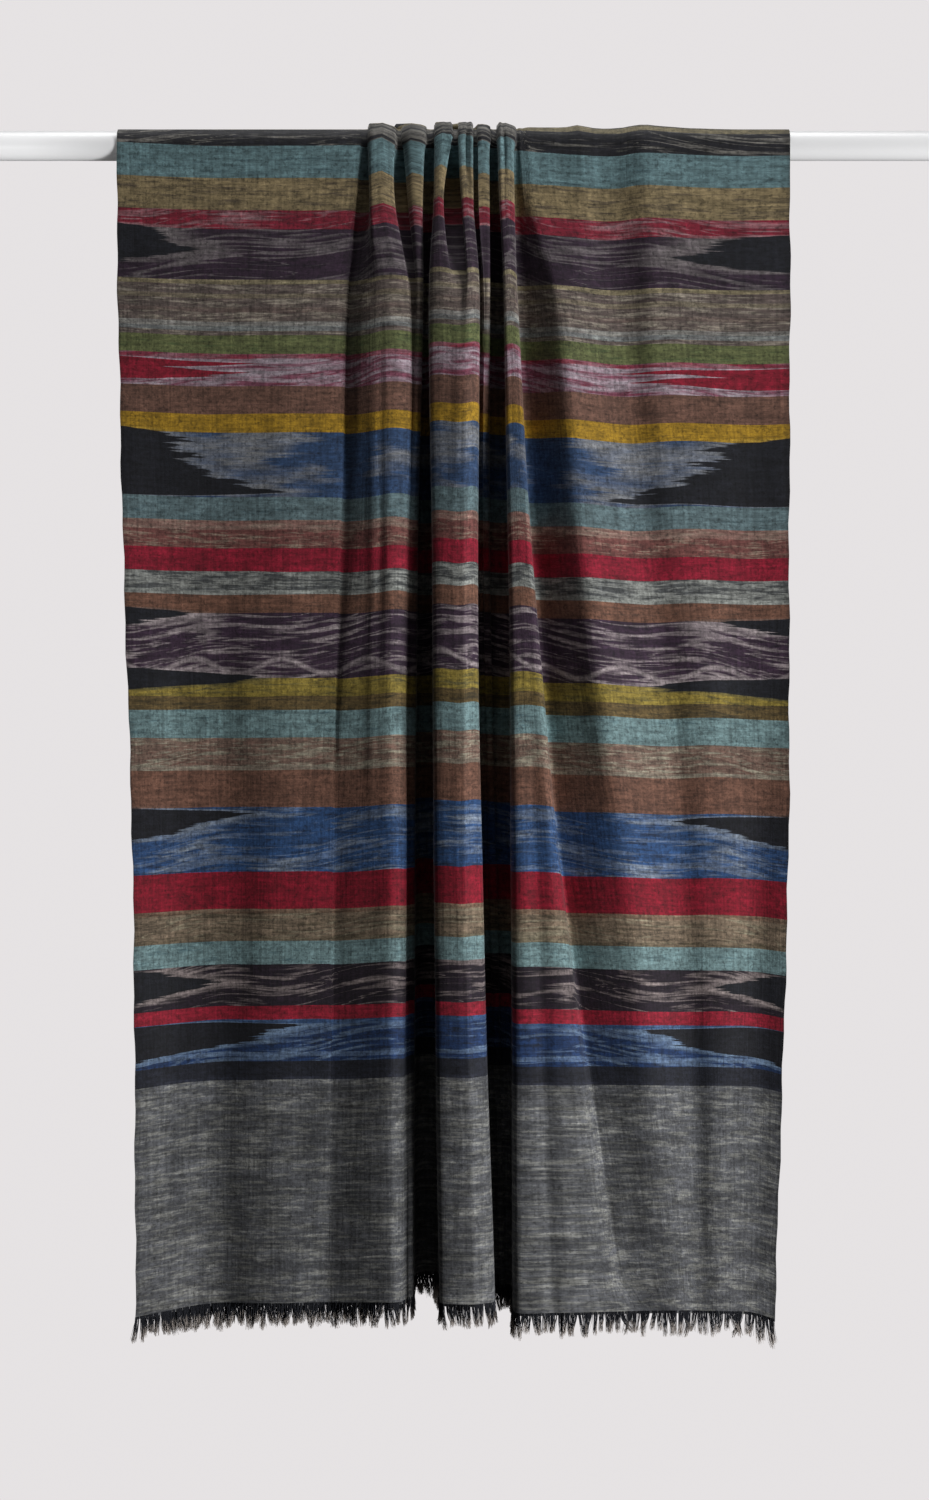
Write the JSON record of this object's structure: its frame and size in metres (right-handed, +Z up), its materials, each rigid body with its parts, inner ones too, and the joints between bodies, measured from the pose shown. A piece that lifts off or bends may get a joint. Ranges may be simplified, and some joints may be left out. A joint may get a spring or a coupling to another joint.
{
  "type": "ikat shawl draped over a round rod",
  "caption": "long woven shawl with ikat stripes hung over a round rod, gathered into deep folds at the middle, both hems fringed",
  "frame": {"origin": "middle of the rod's axis, at the middle of the shawl's width", "axes": "+Z up, +X along the rod to the right seen from the front, -Y towards the front fall"},
  "size_m": [0.9, 0.1203, 1.031],
  "materials": {
    "rod": "round dowel painted satin white",
    "shawl": "fine plain weave of wool and silk with ikat and slub stripes across the warp",
    "fringe": "short loose warp ends, dark at the hem and pale at the tips"
  },
  "bodies": {
    "root": {"rod": "rod", "shawl_over_rod": "shawl", "shawl_front_fall": "shawl", "shawl_back_fall": "shawl", "fringe_front": "fringe", "fringe_back": "fringe"}
  },
  "joints": []
}
